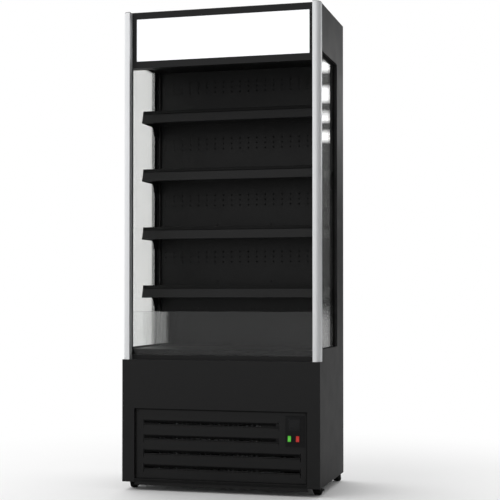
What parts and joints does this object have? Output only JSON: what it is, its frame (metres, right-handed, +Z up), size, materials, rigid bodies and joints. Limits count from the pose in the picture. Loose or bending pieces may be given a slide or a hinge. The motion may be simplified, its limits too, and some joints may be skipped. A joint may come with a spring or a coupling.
{
  "type": "open multideck display fridge",
  "caption": "Upright open-front display fridge with leaning-rail shelves, a lit header, glazed sides, a louvred machine base and low castors.",
  "frame": {"origin": "on the floor, under the middle of the cabinet", "axes": "+Z up, the open front faces -Y, +X to the right seen from the front"},
  "size_m": [0.84, 0.5, 1.994],
  "materials": {
    "foamed_wall": "satin black powder coat on a thin skin over rigid foam",
    "black_coat": "satin black powder coat",
    "post_aluminium": "satin anodised",
    "post_plastic": "moulded",
    "pane_glass": "clear toughened with a black printed rear border",
    "riser_glass": "clear toughened",
    "seal_rubber": "extruded black",
    "sign_diffuser": "opal diffuser, lit from behind",
    "lamp_diffuser": "opal lamp cover",
    "outlet_plastic": "moulded honeycomb",
    "control_black": "fine texture",
    "display_dark": "smoked window",
    "rocker_green": "lit translucent",
    "rocker_red": "lit translucent",
    "tub_liner": "smooth moulded liner",
    "coil_aluminium": "bare fins",
    "galvanised": "galvanised sheet",
    "fan_plastic": "moulded",
    "gland_plastic": "moulded",
    "compressor_black": "gloss black enamel",
    "pipe_copper": "drawn copper",
    "tray_plastic": "moulded",
    "castor_steel": "black coated",
    "pedal_steel": "black coated",
    "wheel_rubber": "solid tread"
  },
  "bodies": {
    "cabinet": {"side_panel_left": "foamed_wall", "side_panel_right": "foamed_wall", "roof_panel": "foamed_wall", "back_panel": "foamed_wall", "header_frame": "black_coat", "canopy_lining": "black_coat", "duct_panel": "black_coat", "shelf_uprights": "black_coat", "shelf_brackets": "black_coat", "glass_nose": "black_coat", "front_fascia": "black_coat", "louvre_panel": "black_coat", "price_rail_1": "black_coat", "price_rail_2": "black_coat", "price_rail_3": "black_coat", "price_rail_4": "black_coat", "shelf_1": "black_coat", "shelf_2": "black_coat", "shelf_3": "black_coat", "shelf_4": "black_coat", "deck_tray": "black_coat", "return_grille": "black_coat", "corner_post_left": "post_aluminium", "corner_post_right": "post_aluminium", "post_caps": "post_plastic", "side_glasses": "pane_glass", "front_glass": "riser_glass", "glass_gaskets": "seal_rubber", "sign_panel": "sign_diffuser", "led_strips": "lamp_diffuser", "air_outlet_honeycomb": "outlet_plastic", "control_plate": "control_black", "switch_housings": "control_black", "display_module": "display_dark", "evaporator_tub": "tub_liner", "evaporator_coil": "coil_aluminium", "condenser_coil": "coil_aluminium", "evaporator_shroud": "galvanised", "condenser_shroud": "galvanised", "base_pan": "galvanised", "rear_grille": "galvanised", "castor_plates": "galvanised", "mains_gland": "gland_plastic", "compressor": "compressor_black", "refrigerant_pipes": "pipe_copper", "condensate_tray": "tray_plastic"},
    "evaporator_fan": {"evaporator_fan": "fan_plastic"},
    "condenser_fan": {"condenser_fan": "fan_plastic"},
    "power_rocker": {"power_rocker": "rocker_green"},
    "light_rocker": {"light_rocker": "rocker_red"},
    "castor_fork_front_left": {"castor_fork_front_left": "castor_steel"},
    "castor_fork_front_right": {"castor_fork_front_right": "castor_steel"},
    "castor_fork_rear_left": {"castor_fork_rear_left": "castor_steel"},
    "castor_fork_rear_right": {"castor_fork_rear_right": "castor_steel"},
    "castor_pedal_front_left": {"castor_pedal_front_left": "pedal_steel"},
    "castor_pedal_front_right": {"castor_pedal_front_right": "pedal_steel"},
    "castor_wheel_front_left": {"castor_wheel_front_left": "wheel_rubber"},
    "castor_wheel_front_right": {"castor_wheel_front_right": "wheel_rubber"},
    "castor_wheel_rear_left": {"castor_wheel_rear_left": "wheel_rubber"},
    "castor_wheel_rear_right": {"castor_wheel_rear_right": "wheel_rubber"}
  },
  "joints": [
    {"name": "evaporator_fan_spin", "type": "hinge", "parent": "cabinet", "child": "evaporator_fan", "pos_m": [0, -0.119, 0.453], "axis": [0, 1, 0], "continuous": true},
    {"name": "condenser_fan_spin", "type": "hinge", "parent": "cabinet", "child": "condenser_fan", "pos_m": [-0.06, -0.147, 0.1515], "axis": [0, 1, 0], "continuous": true},
    {"name": "power_rocker_tip", "type": "hinge", "parent": "cabinet", "child": "power_rocker", "pos_m": [0.2918, -0.2365, 0.231], "axis": [1, 0, 0], "range_deg": [0, 16]},
    {"name": "light_rocker_tip", "type": "hinge", "parent": "cabinet", "child": "light_rocker", "pos_m": [0.3256, -0.2365, 0.231], "axis": [1, 0, 0], "range_deg": [0, 16]},
    {"name": "castor_swivel_front_left", "type": "hinge", "parent": "cabinet", "child": "castor_fork_front_left", "pos_m": [-0.392, -0.18, 0.031], "axis": [0, 0, 1], "continuous": true},
    {"name": "castor_roll_front_left", "type": "hinge", "parent": "castor_fork_front_left", "child": "castor_wheel_front_left", "pos_m": [-0.39391, -0.16917, 0.0135], "axis": [-0.9848, -0.1736, 0], "continuous": true},
    {"name": "castor_brake_front_left", "type": "hinge", "parent": "castor_fork_front_left", "child": "castor_pedal_front_left", "pos_m": [-0.39443, -0.16621, 0.0185], "axis": [-0.9848, -0.1736, 0], "range_deg": [0, 25]},
    {"name": "castor_swivel_front_right", "type": "hinge", "parent": "cabinet", "child": "castor_fork_front_right", "pos_m": [0.392, -0.18, 0.031], "axis": [0, 0, 1], "continuous": true},
    {"name": "castor_roll_front_right", "type": "hinge", "parent": "castor_fork_front_right", "child": "castor_wheel_front_right", "pos_m": [0.39391, -0.16917, 0.0135], "axis": [-0.9848, 0.1736, 0], "continuous": true},
    {"name": "castor_brake_front_right", "type": "hinge", "parent": "castor_fork_front_right", "child": "castor_pedal_front_right", "pos_m": [0.39443, -0.16621, 0.0185], "axis": [-0.9848, 0.1736, 0], "range_deg": [0, 25]},
    {"name": "castor_swivel_rear_left", "type": "hinge", "parent": "cabinet", "child": "castor_fork_rear_left", "pos_m": [-0.392, 0.208, 0.031], "axis": [0, 0, 1], "continuous": true},
    {"name": "castor_roll_rear_left", "type": "hinge", "parent": "castor_fork_rear_left", "child": "castor_wheel_rear_left", "pos_m": [-0.3975, 0.21753, 0.0135], "axis": [-0.866, -0.5, 0], "continuous": true},
    {"name": "castor_swivel_rear_right", "type": "hinge", "parent": "cabinet", "child": "castor_fork_rear_right", "pos_m": [0.392, 0.208, 0.031], "axis": [0, 0, 1], "continuous": true},
    {"name": "castor_roll_rear_right", "type": "hinge", "parent": "castor_fork_rear_right", "child": "castor_wheel_rear_right", "pos_m": [0.3975, 0.21753, 0.0135], "axis": [-0.866, 0.5, 0], "continuous": true}
  ]
}
